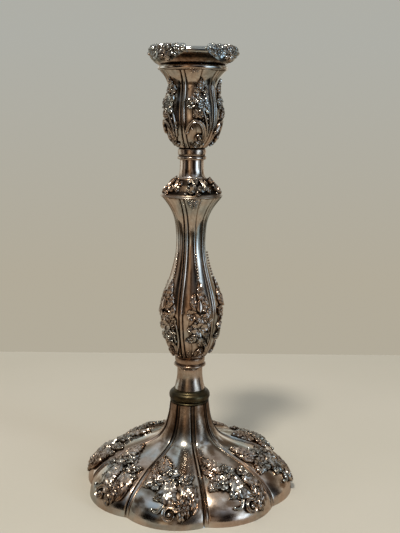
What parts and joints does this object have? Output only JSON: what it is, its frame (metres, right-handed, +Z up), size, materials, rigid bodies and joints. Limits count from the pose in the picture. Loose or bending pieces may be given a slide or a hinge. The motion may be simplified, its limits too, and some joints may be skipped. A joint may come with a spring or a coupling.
{
  "type": "candlestick",
  "caption": "Plated candlestick with a lobed floral foot, a panelled baluster stem, an urn socket and a lift-out nozzle with a drip pan.",
  "frame": {"origin": "middle of the face that it stands on", "axes": "+Z up the stem, -Y towards the viewer's side, where one lobe's spray faces 12.9 degrees to the left"},
  "size_m": [0.1296, 0.1296, 0.27],
  "materials": {
    "silver_plate": "polished silver plate, tarnished brown in the grooves",
    "silver_mounts": "silver relief with black tarnish in the hollows and bright tops",
    "worn_plate": "plate worn through to dull brass",
    "iron": "black iron",
    "brass": "turned, unpolished",
    "pitch": "set pitch and plaster filling",
    "board": "thin board, unfinished",
    "baize": "green wool baize"
  },
  "bodies": {
    "stick": {"foot_shell": "silver_plate", "foot_rim_band": "silver_plate", "baize_pad": "baize", "base_board": "board", "foot_loading": "pitch", "base_spray_1": "silver_mounts", "base_spray_2": "silver_mounts", "base_spray_3": "silver_mounts", "base_spray_4": "silver_mounts", "base_spray_5": "silver_mounts", "base_spray_6": "silver_mounts", "base_spray_7": "silver_mounts", "base_spray_8": "silver_mounts", "foot_collar": "worn_plate", "lower_neck": "silver_plate", "lower_ring": "silver_plate", "baluster_shell": "silver_plate", "stem_loading": "pitch", "baluster_spray_1": "silver_mounts", "baluster_spray_2": "silver_mounts", "baluster_spray_3": "silver_mounts", "baluster_spray_4": "silver_mounts", "baluster_spray_5": "silver_mounts", "shoulder_cap": "silver_plate", "shoulder_scrolls": "silver_mounts", "upper_neck": "silver_plate", "tie_rod": "iron", "rod_nut": "iron", "rod_washer": "iron", "rod_boss": "brass", "socket_ring": "silver_plate", "socket_floor": "silver_plate", "socket_sleeve": "silver_plate", "socket_rim": "silver_plate", "socket_shell": "silver_plate", "socket_spray_1": "silver_mounts", "socket_spray_2": "silver_mounts", "socket_spray_3": "silver_mounts", "socket_spray_4": "silver_mounts", "socket_spray_5": "silver_mounts"},
    "nozzle": {"nozzle_tube": "silver_plate", "nozzle_pan": "silver_plate", "nozzle_rim_wire": "silver_plate", "nozzle_border_1": "silver_mounts", "nozzle_border_2": "silver_mounts", "nozzle_border_3": "silver_mounts", "nozzle_border_4": "silver_mounts"}
  },
  "joints": [
    {"name": "nozzle_lift", "type": "slide", "parent": "stick", "child": "nozzle", "axis": [0, 0, 1], "range_m": [0, 0.045]}
  ]
}
